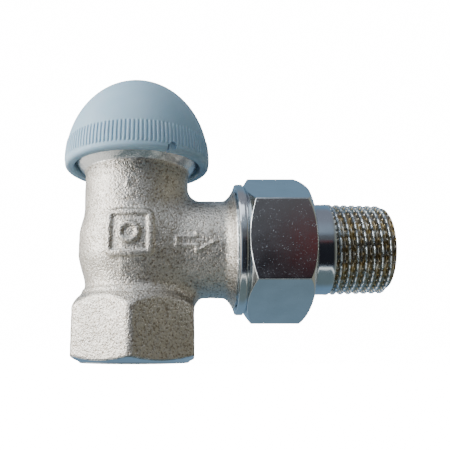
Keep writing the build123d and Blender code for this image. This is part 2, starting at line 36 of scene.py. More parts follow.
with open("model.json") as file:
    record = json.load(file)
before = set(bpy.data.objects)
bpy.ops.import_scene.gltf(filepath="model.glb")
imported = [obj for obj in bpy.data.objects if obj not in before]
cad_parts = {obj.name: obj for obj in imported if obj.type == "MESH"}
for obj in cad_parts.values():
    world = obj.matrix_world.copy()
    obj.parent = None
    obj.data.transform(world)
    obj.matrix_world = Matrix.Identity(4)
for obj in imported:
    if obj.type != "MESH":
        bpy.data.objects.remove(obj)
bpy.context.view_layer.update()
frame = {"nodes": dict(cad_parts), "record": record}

# ---- driving sizes ------------------------------------------------------------------------------
AXIS_HEIGHT = 26.0            # outlet axis above the inlet mouth
PIPE_PITCH = 1.814            # pipe threads, 14 turns to the inch
HEAD_PITCH = 1.5              # head thread

HEX_APOTHEM = 13.5
HEX_CORNER = 2.05
MOUTH_R = 11.8
MOUTH_SLOPE = radians(25)
HEX_TOP_CORNER = (15.27, 12.6)
SHOULDER_R = 12.2
SHOULDER_TOP = 16.2
FOOT_R = 11.65
BULB_R = 13.33
NECK_R = 12.26
NECK_TOP = 44.2
HEAD_R = 14.6
BODY_TOP = 52.0
TUBE_R = 11.4
TUBE_BLEND = 3.2
FLANGE_START = 19.9
FLANGE_END = 22.9
FLANGE_R = 14.5

LINING_R = 10.7
LINING_TOP = 13.6
INLET_MINOR_R = 9.3
INLET_MAJOR_R = 10.45
THROAT_R = 8.2
SEAT_R = 5.75
SEAT_TOP = 20.5
CHAMBER_R = 10.4
INSERT_R = 9.6
OUTLET_BORE_R = 8.0

UNION_R = 13.2
UNION_DEPTH = 1.1
BODY_END = 32.0

CAP_R = 17.25
CAP_CENTRE = 47.3
CAP_TOP = 67.4
CAP_FOOT = 45.3
CAP_BORE_R = 15.05
CAP_RIBS = 115
RIB_LOW = 47.0
RIB_HIGH = 51.6

NUT_START = 23.0
NUT_END = 40.4
NUT_HEX_START = 25.0
NUT_COLLAR_END = 24.7
NUT_NOSE = ((17.52, 37.35), (15.2, 39.2), (11.7, 40.4))     # radius and reach along the nose
NUT_APOTHEM = 15.0
NUT_COLLAR_R = 15.3
NUT_BORE_R = 10.9
NUT_EDGE = 0.16              # how softly its edges are broken

TAIL_R = 10.65
TAIL_BORE_R = 7.9
TAIL_THREAD_START = 44.4
TAIL_END = 58.0


# ---- mesh helpers -------------------------------------------------------------------------------
def mesh_object(name, points, faces, sharp_angle=None):
    """Object with outward normals from millimetre points and faces."""
    mesh = bpy.data.meshes.new(name)
    mesh.from_pydata((np.asarray(points) * MM).tolist(), [], list(faces))
    work = bmesh.new()
    work.from_mesh(mesh)
    bmesh.ops.recalc_face_normals(work, faces=work.faces)
    work.to_mesh(mesh)
    work.free()
    mesh.shade_smooth()
    if sharp_angle is not None:
        mesh.set_sharp_from_angle(angle=radians(sharp_angle))
    obj = bpy.data.objects.new(name, mesh)
    bpy.context.scene.collection.objects.link(obj)
    return obj


def ring_faces(rows, columns):
    """Quads of a grid whose rows and columns both wrap round."""
    row = np.arange(rows)[:, None]
    column = np.arange(columns)[None, :]
    after = (row + 1) % rows
    beside = (column + 1) % columns
    quads = np.stack([
        row * columns + column, row * columns + beside,
        after * columns + beside, after * columns + column], axis=-1)
    return quads.reshape(-1, 4)


def swept_ring(name, profile, columns, outlet=False, shape=None, sharp_angle=None):
    """Closed ring swept round the stem axis, or the outlet axis, from (radius, height) points.

    shape(radius, height, angle) may change the radii. On the outlet axis, angle 0 faces -Y and
    grows towards +Z; on the stem axis it is measured from +X towards +Y."""
    profile = np.asarray(profile, dtype=float)
    angle = np.linspace(0, 2 * pi, columns, endpoint=False)[None, :]
    radius = np.repeat(profile[:, :1], columns, axis=1)
    height = np.repeat(profile[:, 1:2], columns, axis=1)
    if shape is not None:
        radius = shape(radius, height, angle)
    across = radius * np.cos(angle)
    along = radius * np.sin(angle)
    if outlet:
        points = np.stack([height, -across, AXIS_HEIGHT + along], axis=-1)
    else:
        points = np.stack([across, along, height], axis=-1)
    return mesh_object(name, points.reshape(-1, 3), ring_faces(len(profile), columns), sharp_angle)


def between(start, end, step):
    """Profile points from start up to, but not including, end, spaced about a step apart."""
    start, end = np.asarray(start, float), np.asarray(end, float)
    count = max(1, int(round(np.linalg.norm(end - start) / step)))
    return [tuple(start + (end - start) * k / count) for k in range(count)]


def arc(centre, radius, start, end, count):
    """Profile points on an arc, angles in degrees from the radius axis towards the height axis."""
    angles = np.radians(np.linspace(start, end, count))
    return [(centre[0] + radius * cos(a), centre[1] + radius * sin(a)) for a in angles]


def ridge(phase, crest=0.16, root=0.12):
    """Height from 0 to 1 of a thread's ridge at a phase counted in turns."""
    away = np.abs((phase % 1.0) - 0.5) * 2
    flank = np.clip((1 - root - away) / (1 - root - crest), 0, 1)
    return flank * flank * (3 - 2 * flank) * 0.35 + flank * 0.65


# ---- solid blending: signed distances, negative inside --------------------------------------------
def blend_union(a, b, radius):
    corner = np.hypot(np.maximum(radius - a, 0), np.maximum(radius - b, 0))
    return np.maximum(radius, np.minimum(a, b)) - corner


def blend_cut(a, b, radius):
    """Intersection with its edge rounded."""
    corner = np.hypot(np.maximum(radius + a, 0), np.maximum(radius + b, 0))
    return np.minimum(-radius, np.maximum(a, b)) + corner


def ease(value, start, end):
    """0 before start, 1 after end, smooth between."""
    t = np.clip((value - start) / (end - start), 0, 1)
    return t * t * (3 - 2 * t)


def hexagon_distance(u, v, apothem, rounding):
    """Distance to a rounded hexagon whose flats face -u and +u."""
    inner = apothem - rounding
    a, b = np.abs(v), np.abs(u)
    side = 2 * np.minimum(-sin(pi / 3) * a + 0.5 * b, 0)
    a = a + sin(pi / 3) * side
    b = b - 0.5 * side
    half = tan(pi / 6) * inner
    a = a - np.clip(a, -half, half)
    b = b - inner
    return np.hypot(a, b) * np.sign(b) - rounding


def polygon_distance(u, v, corners):
    """Distance to a plain polygon."""
    best = np.full(u.shape, 1e9)
    sign = np.ones(u.shape)
    for (x1, y1), (x0, y0) in zip(corners, corners[-1:] + corners[:-1]):
        ex, ey = x0 - x1, y0 - y1
        wx, wy = u - x1, v - y1
        t = np.clip((wx * ex + wy * ey) / (ex * ex + ey * ey), 0, 1)
        best = np.minimum(best, (wx - ex * t) ** 2 + (wy - ey * t) ** 2)
        c1, c2, c3 = v >= y1, v < y0, ex * wy > ey * wx
        sign = np.where((c1 & c2 & c3) | (~c1 & ~c2 & ~c3), -sign, sign)
    return np.sqrt(best) * sign


def iso_surface(field, low, high, step):
    """Points and quads of the surface where field(x, y, z) is zero."""
    axes = [np.arange(a, b + step, step) for a, b in zip(low, high)]
    value = field(*np.meshgrid(*axes, indexing="ij"))
    inside = value < 0
    cells = tuple(n - 1 for n in value.shape)
    corners = [(i, j, k) for i in (0, 1) for j in (0, 1) for k in (0, 1)]

    def at(array, corner):
        return array[tuple(slice(c, c + n) for c, n in zip(corner, cells))]

    total = np.zeros(cells + (3,))
    count = np.zeros(cells)
    for first in corners:
        for axis in range(3):
            if first[axis]:
                continue
            second = tuple(c + (n == axis) for n, c in enumerate(first))
            crossed = at(inside, first) != at(inside, second)
            a, b = at(value, first)[crossed], at(value, second)[crossed]
            total[crossed] += first
            total[crossed, axis] += a / (a - b)
            count[crossed] += 1
    active = count > 0
    index = np.full(cells, -1)
    index[active] = np.arange(active.sum())
    points = (np.argwhere(active) + total[active] / count[active][:, None]) * step + np.array(low)

    quads = []
    for axis in range(3):
        u, v = (axis + 1) % 3, (axis + 2) % 3
        ahead = [slice(1, n - 1) for n in value.shape]
        ahead[axis] = slice(1, value.shape[axis])
        behind = list(ahead)
        behind[axis] = slice(0, value.shape[axis] - 1)
        start = np.argwhere(inside[tuple(behind)] != inside[tuple(ahead)])
        offset = np.array([1, 1, 1])
        offset[axis] = 0
        start = start + offset
        around = []
        for du, dv in ((-1, -1), (0, -1), (0, 0), (-1, 0)):
            cell = start.copy()
            cell[:, u] += du
            cell[:, v] += dv
            around.append(index[cell[:, 0], cell[:, 1], cell[:, 2]])
        quads.append(np.stack(around, axis=-1))
    quads = np.concatenate(quads)

    nudge = 0.02
    for _ in range(4):
        x, y, z = points.T
        here = field(x, y, z)
        slope = np.stack([
            field(x + nudge, y, z) - field(x - nudge, y, z),
            field(x, y + nudge, z) - field(x, y - nudge, z),
            field(x, y, z + nudge) - field(x, y, z - nudge)], axis=-1) / (2 * nudge)
        size = np.maximum((slope ** 2).sum(axis=1), 0.2)
        move = slope * (here / size)[:, None]
        points = points - np.clip(move, -step / 2, step / 2)
    return points, quads


# ---- the forged body ----------------------------------------------------------------------------
FRAME_CENTRE = (-0.55, 27.7)      # raised frame on the bulb: arc length from -Y, height
FRAME_HALF = 4.55
FRAME_CORNER = 0.9
RING_MARK_R = 1.9
DOT_CENTRE = (-1.2, 38.8)
ARROW_TAIL = 9.6
ARROW_NECK = 13.9
ARROW_TIP = 18.3


def trunk_radius(z):
    lower = FOOT_R + (BULB_R - FOOT_R) * (0.5 - 0.5 * np.cos(pi * np.clip((z - 16.8) / 8.0, 0, 1)))
    upper = (BULB_R - NECK_R) * (0.5 - 0.5 * np.cos(pi * np.clip((z - 28.5) / 6.5, 0, 1)))
    return lower - upper


def unevenness(x, y, z):
    """Slow waviness of a forged surface, in millimetres."""
    waves = np.sin(1.3 * x + 0.7 * y + 0.4) * np.sin(0.9 * z - 1.1 * y + 1.7)
    waves = waves + 0.6 * np.sin(2.3 * z + 1.9 * x - 0.8) * np.sin(2.1 * y - 1.2 * x + 0.3)
    return 0.035 * waves


def raised_marks(x, y, z):
    """Height of the forged marks: a plain frame with a ring, a dot and a flow arrow."""
    arc_length = np.arctan2(x, -y) * BULB_R
    u = arc_length - FRAME_CENTRE[0]
    v = z - FRAME_CENTRE[1]
    front = (y < 0) & (np.hypot(x, y) > CHAMBER_R)
    edge_u, edge_v = np.abs(u) - FRAME_HALF + FRAME_CORNER, np.abs(v) - FRAME_HALF + FRAME_CORNER
    corner = np.hypot(np.maximum(edge_u, 0), np.maximum(edge_v, 0))
    square = corner + np.minimum(np.maximum(edge_u, edge_v), 0) - FRAME_CORNER
    frame_line = 1 - ease(np.abs(square), 0.4, 1.0)
    ring_line = 1 - ease(np.abs(np.hypot(u, v) - RING_MARK_R), 0.3, 0.8)
    dot = 1 - ease(np.hypot(arc_length - DOT_CENTRE[0], z - DOT_CENTRE[1]), 0.35, 0.8)
    height = 0.65 * frame_line + 0.6 * ring_line + 0.35 * dot
    marks = np.where(front, height, 0)

    around = np.arctan2(z - AXIS_HEIGHT, -y) * TUBE_R
    arrow = [
        (ARROW_TAIL, -1.0), (ARROW_NECK, -1.0), (ARROW_NECK, -2.2), (ARROW_TIP, 0),
        (ARROW_NECK, 2.2), (ARROW_NECK, 1.0), (ARROW_TAIL, 1.0)]
    away = polygon_distance(x, around, arrow)
    arrow_height = 0.3 * (1 - ease(np.abs(away), 0.12, 0.42)) + 0.1 * (1 - ease(away, -0.2, 0.1))
    on_tube = (y < 0) & (x > ARROW_TAIL - 2) & (np.hypot(y, z - AXIS_HEIGHT) > TUBE_R - 1)
    return marks + np.where(on_tube, arrow_height, 0)


def body_outside(x, y, z):
    rho = np.hypot(x, y)
    prism = hexagon_distance(x, y, HEX_APOTHEM, HEX_CORNER)
    top_cone = (rho + z - sum(HEX_TOP_CORNER)) / 2 ** 0.5
    mouth_cone = (rho - MOUTH_R) * sin(MOUTH_SLOPE) - z * cos(MOUTH_SLOPE)
    inlet_hex = blend_cut(prism, top_cone, 0.5)
    inlet_hex = blend_cut(inlet_hex, mouth_cone, 0.12)
    shoulder = blend_cut(rho - SHOULDER_R, z - SHOULDER_TOP, 0.3)
    inlet_hex = blend_union(inlet_hex, shoulder, 0.5)
    inlet_hex = np.maximum(inlet_hex, -z)

    trunk = rho - trunk_radius(z)
    trunk = np.maximum(np.maximum(trunk, 12 - z), z - NECK_TOP - 3)
    head = np.maximum((rho - NECK_R - (z - NECK_TOP)) / 2 ** 0.5, z - BODY_TOP)
    head = blend_cut(head, rho - HEAD_R, 0.3)
    trunk = blend_union(trunk, head, 0.3)

    out = np.hypot(y, z - AXIS_HEIGHT)
    flare = np.clip((x - FLANGE_START) / (FLANGE_END - FLANGE_START), 0, 1) ** 2.2
    slope = 2.2 * (FLANGE_R - TUBE_R) / 3.0 * np.clip((x - FLANGE_START) / 3.0, 0, 1) ** 1.2
    tube = (out - TUBE_R - (FLANGE_R - TUBE_R) * flare) / np.hypot(1, slope)
    tube = np.maximum(blend_cut(tube, x - FLANGE_END, 0.2), -x)

    forging = blend_union(trunk, tube, TUBE_BLEND)
    forging = blend_union(forging, inlet_hex, 0.9)
    forging = np.minimum(forging, blend_union(inlet_hex, tube, TUBE_BLEND))
    return forging - raised_marks(x, y, z) - unevenness(x, y, z) * ease(z, 1.5, 3)


def body_inside(x, y, z):
    rho = np.hypot(x, y)
    lining = np.maximum(rho - LINING_R, z - LINING_TOP)
    throat = np.maximum(rho - THROAT_R, z - 16.6)
    funnel = np.maximum((rho - THROAT_R + (z - 16.6) * 2) / 5 ** 0.5, np.maximum(z - 18.2, rho - THROAT_R))
    seat = np.maximum(rho - SEAT_R, z - SEAT_TOP - 1)
    chamber = blend_cut(rho - CHAMBER_R, np.abs(z - 26.4) - 6.8, 0.8)
    lip = np.maximum(np.abs(rho - SEAT_R - 0.45) - 0.45, z - SEAT_TOP)
    chamber = np.maximum(chamber, -lip)
    insert = np.maximum(rho - INSERT_R, 32 - z)
    outlet = np.maximum(np.hypot(y, z - AXIS_HEIGHT) - OUTLET_BORE_R, 5 - x)
    hollow = np.minimum(np.minimum(lining, throat), np.minimum(funnel, seat))
    return np.minimum(np.minimum(hollow, chamber), np.minimum(insert, outlet))


def body_field(x, y, z):
    return np.maximum(body_outside(x, y, z), -body_inside(x, y, z))


def machined_share(points):
    """1 where the forging was turned after blasting: the mouth, the flange's face and the head's cone."""
    x, y, z = points.T
    rho = np.hypot(x, y)
    cone = (rho - MOUTH_R) * sin(MOUTH_SLOPE) - z * cos(MOUTH_SLOPE)
    mouth = (1 - ease(np.abs(cone), 0.08, 0.22)) * (z < 3)
    face = ease(x, FLANGE_END - 0.45, FLANGE_END - 0.15)
    inside = 1 - ease(body_inside(x, y, z) * -1, -0.2, -0.1)
    cone = 0.75 * ease(z, NECK_TOP + 0.05, NECK_TOP + 0.4)
    return np.clip(mouth + face + cone + (1 - inside) + (z < 0.05), 0, 1)


def make_forging():
    points, quads = iso_surface(body_field, (-16.2, -16.2, -0.5), (23.4, 16.2, 54.6), 0.36)
    obj = mesh_object("valve_forging", points, quads)
    share = obj.data.attributes.new("machined", "FLOAT", "POINT")
    share.data.foreach_set("value", machined_share(points).astype(np.float32))
    return obj


def make_inlet_lining():
    """Ring inside the hexagon that carries the female pipe thread and its lead-in chamfer."""
    corners = [(LINING_R + 0.2, 0), (LINING_R + 0.2, LINING_TOP), (INLET_MINOR_R - 0.6, LINING_TOP)]
    wall = between((INLET_MAJOR_R, LINING_TOP), (INLET_MAJOR_R, 0), 0.12)

    def cut_thread(radius, height, angle):
        turn = height / PIPE_PITCH - angle / (2 * pi)
        wanted = INLET_MAJOR_R - (INLET_MAJOR_R - INLET_MINOR_R) * ridge(turn)
        run_out = ease(height, LINING_TOP - 1.6, LINING_TOP)
        wanted = wanted * (1 - run_out) + INLET_MINOR_R * run_out
        lead_in = LINING_R - height * 0.9
        wanted = np.maximum(wanted, lead_in)
        return np.where(np.abs(radius - INLET_MAJOR_R) < 0.01, wanted, radius)

    profile = between(corners[0], corners[1], 2.0) + between(corners[1], (INLET_MAJOR_R, LINING_TOP), 0.3) + wall
    return swept_ring("inlet_thread", profile, 192, shape=cut_thread)


def make_union_thread():
    """End of the outlet tube: male union thread, end face and the cone that the tailpiece seals on."""
    start = FLANGE_END - 0.3
    cone_r = OUTLET_BORE_R + BODY_END - 28.2 - 0.6
    outer = between((UNION_R, start), (UNION_R, BODY_END), 0.12)
    inner = [(cone_r, BODY_END), (cone_r, BODY_END - 0.6), (OUTLET_BORE_R, 28.2), (OUTLET_BORE_R, start)]

    def cut_thread(radius, height, angle):
        turn = height / PIPE_PITCH + angle / (2 * pi)
        depth = UNION_DEPTH * (1 - ridge(turn)) * ease(height, FLANGE_END + 0.4, FLANGE_END + 1.4)
        wanted = np.minimum(UNION_R - depth, UNION_R - 0.9 + (BODY_END - height))
        return np.where(np.abs(radius - UNION_R) < 0.01, wanted, radius)

    return swept_ring("union_thread", outer + inner, 256, outlet=True, shape=cut_thread, sharp_angle=40)


def make_head_thread():
    """Sleeve with the male thread under the cap."""
    low, high = 46.8, BODY_TOP - 0.02
    outer = between((15.0, low), (15.0, high), 0.1)

    def cut_thread(radius, height, angle):
        turn = height / HEAD_PITCH - angle / (2 * pi)
        depth = 0.9 * (1 - ridge(turn))
        wanted = np.minimum(15.0 - depth, 14.2 + np.minimum(high - height, (height - low) * 2 + 0.35))
        return np.where(radius > 14.9, wanted, radius)

    return swept_ring("head_thread", outer + [(14.3, high), (13.9, high), (13.9, low), (14.3, low)], 192, shape=cut_thread)


# ---- protective cap -----------------------------------------------------------------------------
def dome_radius(height):
    rise = np.clip((height - CAP_CENTRE) / (CAP_TOP - CAP_CENTRE), -1, 1)
    return CAP_R * np.sqrt(1 - rise ** 2)


def make_cap():
    """Dome with fine vertical ribs above a rolled rim, hollow, with a plain bore inside the rim."""
    lip = arc((CAP_R - 0.95, CAP_FOOT + 0.95), 0.95, -90, -5, 8)
    band = [(CAP_R, z) for z in np.arange(CAP_FOOT + 1.15, RIB_HIGH + 0.8, 0.1)]
    dome_angles = np.linspace(np.arcsin((RIB_HIGH + 0.8 - CAP_CENTRE) / (CAP_TOP - CAP_CENTRE)), pi / 2, 46)
    dome = [(CAP_R * cos(a), CAP_CENTRE + (CAP_TOP - CAP_CENTRE) * sin(a)) for a in dome_angles[:-1]]
    apex = [(0.02, CAP_TOP)]
    inner = [
        (0.02, 65.35), (2.5, 65.1), (4.9, 64.4), (7.0, 63.2), (8.9, 61.5), (10.8, 59.4), (12.2, 57.6), (13.2, 56.0)]
    thread = between((CAP_BORE_R - 0.02, 54.7), (CAP_BORE_R - 0.02, CAP_FOOT + 0.6), 0.14)
    foot = [(CAP_BORE_R + 0.1, CAP_FOOT + 0.25), (CAP_BORE_R + 0.35, CAP_FOOT + 0.03)]

    def rib(radius, height, angle):
        on_skin = (radius > CAP_R - 0.3) & (height > CAP_FOOT + 1.0) & (height < RIB_HIGH + 0.9)
        phase = angle * CAP_RIBS / (2 * pi)
        away = np.abs((phase % 1.0) - 0.5) * 2
        bar = 1 - ease(away, 0.35, 0.85)
        band_share = ease(height, RIB_LOW - 0.35, RIB_LOW + 0.1) * (1 - ease(height, RIB_HIGH - 0.2, RIB_HIGH + 0.25))
        skin = dome_radius(height) * np.ones_like(angle)
        ribbed = skin + band_share * (0.13 * bar - 0.15 * (1 - bar))
        skin = np.where(height < RIB_LOW - 0.5, skin, ribbed)
        return np.where(on_skin, skin, radius)

    profile = lip + band + dome + apex + inner + thread + foot
    obj = swept_ring("cap_shell", profile, CAP_RIBS * 7, shape=rib)
    cut_keyhole(obj)
    return obj


def cut_keyhole(cap):
    """Slit through the rim with a round eye beside it."""
    place = radians(27.8)
    outward = Vector((sin(place), -cos(place), 0))
    sideways = Vector((cos(place), sin(place), 0))
    slit = box_cutter("slit_cutter", outward * 16.4, outward, sideways, (4.0, 0.5, 2.3), CAP_FOOT + 0.2)
    eye = round_cutter("eye_cutter", outward * 17.4 + sideways * 1.1, outward, 0.85, 1.5, CAP_FOOT + 1.15)
    for cutter in (slit, eye):
        modifier = cap.modifiers.new("cut", "BOOLEAN")
        modifier.object = cutter
        modifier.operation = "DIFFERENCE"
        modifier.solver = "EXACT"
    depsgraph = bpy.context.evaluated_depsgraph_get()
    cut = bpy.data.meshes.new_from_object(cap.evaluated_get(depsgraph))
    cap.modifiers.clear()
    cap.data = cut
    for cutter in (slit, eye):
        bpy.data.objects.remove(cutter)
    cap.data.set_sharp_from_angle(angle=radians(50))


def box_cutter(name, centre, outward, sideways, size, height):
    """Block of size (depth, width, tall) that stands outward, its middle at a height."""
    points = []
    for a in (-0.5, 0.5):
        for b in (-0.5, 0.5):
            for c in (-0.5, 0.5):
                point = centre + outward * (a * size[0]) + sideways * (b * size[1]) + Vector((0, 0, c * size[2] + height))
                points.append(point)
    faces = [(0, 1, 3, 2), (4, 6, 7, 5), (0, 4, 5, 1), (2, 3, 7, 6), (0, 2, 6, 4), (1, 5, 7, 3)]
    return mesh_object(name, points, faces)


def round_cutter(name, centre, outward, radius, depth, height):
    """Short round bar that points outward, its middle at a height."""
    sideways = Vector((-outward.y, outward.x, 0))
    sides = 32
    points = []
    for end in (-0.5, 0.5):
        for k in range(sides):
            angle = 2 * pi * k / sides
            points.append(centre + outward * (end * depth) + sideways * (radius * cos(angle))
                          + Vector((0, 0, height + radius * sin(angle))))
    walls = [(k, (k + 1) % sides, sides + (k + 1) % sides, sides + k) for k in range(sides)]
    return mesh_object(name, points, walls + [tuple(range(sides)), tuple(range(2 * sides - 1, sides - 1, -1))])


# ---- union nut ----------------------------------------------------------------------------------
def curve_point(three, share):
    """Point at a share of the way along the parabola through three points."""
    weights = ((1 - share) * (1 - 2 * share), 4 * share * (1 - share), share * (2 * share - 1))
    return tuple(sum(w * point[axis] for w, point in zip(weights, three)) for axis in (0, 1))


def make_nut():
    """Hexagon nut in one closed ring: collar, groove, hexagon with turned ends, nose, bore."""
    corner_r = NUT_APOTHEM / cos(pi / 6)
    hex_start = NUT_HEX_START
    collar = [(NUT_COLLAR_R - 1.1, NUT_START), (NUT_COLLAR_R - 0.35, NUT_START), (NUT_COLLAR_R - 0.1, NUT_START + 0.1),
              (NUT_COLLAR_R, NUT_START + 0.35)]
    collar += between((NUT_COLLAR_R, NUT_START + 0.4), (NUT_COLLAR_R, NUT_COLLAR_END - 0.2), 0.4)
    collar += [(NUT_COLLAR_R, 24.5), (NUT_COLLAR_R - 0.08, 24.63), (NUT_COLLAR_R - 0.25, 24.7), (14.7, 24.72), (14.6, 24.8), (14.6, 24.95)]
    chamfer = between((14.75, hex_start), (corner_r + 0.2, hex_start + 1.7), 0.12)
    side = between((corner_r + 0.2, hex_start + 1.7), NUT_NOSE[0], 0.35)
    nose = [curve_point(NUT_NOSE, share) for share in np.linspace(0, 1, 52)]
    face = [(NUT_BORE_R + 0.35, NUT_END), (NUT_BORE_R + 0.1, NUT_END - 0.15),
            (NUT_BORE_R, NUT_END - 0.4)]
    bore = between((NUT_BORE_R, NUT_END - 0.5), (NUT_BORE_R, 35.5), 0.8)
    bore += [(NUT_BORE_R, 35.5), (12.5, 35.5), (13.6, 35.5), (13.6, 34.3)]
    thread = between((13.5, 34.0), (13.5, NUT_START + 0.1), 0.16)
    profile = collar + chamfer + side + nose + face + bore + thread

    def hexagon(radius, height, angle):
        turned_angle = (angle + pi / 6) % (pi / 3) - pi / 6
        flat = NUT_APOTHEM / np.cos(turned_angle)
        neighbour = NUT_APOTHEM / np.cos(pi / 3 - np.abs(turned_angle))
        share = np.clip(0.5 + 0.5 * (neighbour - flat) / NUT_EDGE, 0, 1)
        flat = neighbour * (1 - share) + flat * share - NUT_EDGE * share * (1 - share)
        edge = NUT_EDGE
        mix = np.clip(0.5 + 0.5 * (radius - flat) / edge, 0, 1)
        soft = radius * (1 - mix) + flat * mix - edge * mix * (1 - mix)
        on_hex = (height >= hex_start - 0.01) & (radius > 13.7)
        inner_turn = height / PIPE_PITCH + angle / (2 * pi)
        groove = 13.35 + 0.95 * ridge(inner_turn + 0.5) * ease(height, NUT_START + 0.1, NUT_START + 0.8)
        in_thread = (np.abs(radius - 13.5) < 0.01) & (height < 34.1)
        return np.where(on_hex, soft, np.where(in_thread, groove, radius))

    return swept_ring("union_nut_shell", profile, 720, outlet=True, shape=hexagon, sharp_angle=35)


# ---- tailpiece ----------------------------------------------------------------------------------
def make_tail():
    """Tailpiece in one closed ring: sealing cone, collar, shank, serrated taper thread, bore."""
    cone = [(TAIL_BORE_R, 28.8), (8.25, 28.8), (9.24, 29.8), (8.5, 30.5), (9.7, 31.75), (10.44, 31.0), (10.74, 31.3),
            (10.74, 32.3), (12.1, 32.3), (12.2, 32.4), (12.2, 35.35), (12.1, 35.45), (10.7, 35.45), (10.6, 35.6)]
    shank = between((TAIL_R - 0.05, 35.8), (TAIL_R - 0.05, TAIL_THREAD_START - 0.2), 0.8)
    thread = between((TAIL_R, TAIL_THREAD_START - 0.1), (TAIL_R, TAIL_END), 0.09)
    end = [(9.0, TAIL_END), (8.5, TAIL_END), (TAIL_BORE_R + 0.2, TAIL_END), (TAIL_BORE_R, TAIL_END - 0.2)]
    bore = between((TAIL_BORE_R, TAIL_END - 0.5), (TAIL_BORE_R, 29.2), 1.5)
    serrations = 36

    def cut_thread(radius, height, angle):
        crest = TAIL_R - (height - TAIL_THREAD_START) / 32
        turn = (height - 44.97) / PIPE_PITCH + (angle - pi / 2) / (2 * pi) + 0.5
        lift = ridge(turn, crest=0.10, root=0.20)
        depth = 1.1 * (1 - lift)
        start_share = ease(height, TAIL_THREAD_START - 0.1, TAIL_THREAD_START + 0.5)
        wanted = crest - depth * start_share
        phase = (angle * serrations / (2 * pi)) % 1.0
        notch = np.exp(-((phase - 0.5) / 0.16) ** 2)
        on_flank = ease(lift, 0.15, 0.5) * (1 - 0.5 * ease(lift, 0.8, 1.0)) * start_share
        wanted = wanted - 0.34 * notch * on_flank
        nose = 9.1 + (TAIL_END - height) * 1.15
        wanted = np.minimum(wanted, nose)
        return np.where(np.abs(radius - TAIL_R) < 0.01, wanted, radius)

    profile = cone + shank + thread + end + bore
    return swept_ring("tail_shell", profile, serrations * 14, outlet=True, shape=cut_thread, sharp_angle=45)


def make_lugs():
    """Two lugs in the tailpiece's bore for the key that turns it."""
    points = []
    faces = []
    for side in (-1, 1):
        base = len(points)
        section = [(-1.5, 8.3), (-1.5, 6.8), (-1.2, 6.5), (1.2, 6.5), (1.5, 6.8), (1.5, 8.3)]
        for x in (46.0, 52.0):
            points += [(x, side * out, AXIS_HEIGHT + across) for across, out in section]
        count = len(section)
        faces += [[base + k, base + (k + 1) % count, base + count + (k + 1) % count, base + count + k]
                  for k in range(count)]
        faces += [list(range(base, base + count)), list(range(base + 2 * count - 1, base + count - 1, -1))]
    mesh = bpy.data.meshes.new("key_lugs")
    mesh.from_pydata([tuple(c * MM for c in p) for p in points], [], faces)
    work = bmesh.new()
    work.from_mesh(mesh)
    bmesh.ops.recalc_face_normals(work, faces=work.faces)
    work.to_mesh(mesh)
    work.free()
    obj = bpy.data.objects.new("key_lugs", mesh)
    bpy.context.scene.collection.objects.link(obj)
    return obj


# ---- materials ----------------------------------------------------------------------------------
class Shader:
    """Short hand for building one node material."""

    def __init__(self, name):
        self.material = bpy.data.materials.new(name)
        self.material.use_nodes = True
        self.nodes = self.material.node_tree.nodes
        self.links = self.material.node_tree.links
        self.principled = self.nodes["Principled BSDF"]
        self.where = self.nodes.new("ShaderNodeTexCoord").outputs["Object"]

    def node(self, kind, inputs=None, **settings):
        made = self.nodes.new("ShaderNode" + kind)
        for key, value in settings.items():
            setattr(made, key, value)
        for key, value in (inputs or {}).items():
            self.set(made.inputs[key], value)
        return made

    def set(self, socket, value):
        if isinstance(value, bpy.types.NodeSocket):
            self.links.new(value, socket)
        else:
            socket.default_value = value

    def put(self, **values):
        for key, value in values.items():
            self.set(self.principled.inputs[key.replace("_", " ")], value)

    def stretched(self, scale, turn=(0, 0, 0)):
        mapping = self.node("Mapping", {"Vector": self.where, "Scale": scale, "Rotation": turn})
        return mapping.outputs["Vector"]

    def noise(self, per_mm, detail=2.0, where=None, rough=0.5):
        made = self.node("TexNoise", {
            "Vector": where or self.where, "Scale": per_mm / MM, "Detail": detail, "Roughness": rough})
        return made.outputs["Fac"]

    def voronoi(self, per_mm, where=None, feature="F1"):
        made = self.node("TexVoronoi", {"Vector": where or self.where, "Scale": per_mm / MM}, feature=feature)
        return made.outputs["Distance"]

    def map(self, value, low, high, to_low=0.0, to_high=1.0):
        made = self.node("MapRange", {
            "Value": value, "From Min": low, "From Max": high, "To Min": to_low, "To Max": to_high})
        return made.outputs["Result"]

    def math(self, operation, a, b=0.0):
        made = self.node("Math", operation=operation)
        self.set(made.inputs[0], a)
        self.set(made.inputs[1], b)
        return made.outputs["Value"]

    def mix(self, share, a, b):
        made = self.node("Mix", data_type="RGBA")
        self.set(made.inputs["Factor"], share)
        self.set(made.inputs[6], a)
        self.set(made.inputs[7], b)
        return made.outputs[2]

    def bump(self, height, strength, depth_mm, normal=None):
        inputs = {"Height": height, "Strength": strength, "Distance": depth_mm * MM}
        if normal is not None:
            inputs["Normal"] = normal
        return self.node("Bump", inputs).outputs["Normal"]


def colour(r, g, b):
    return (r, g, b, 1.0)


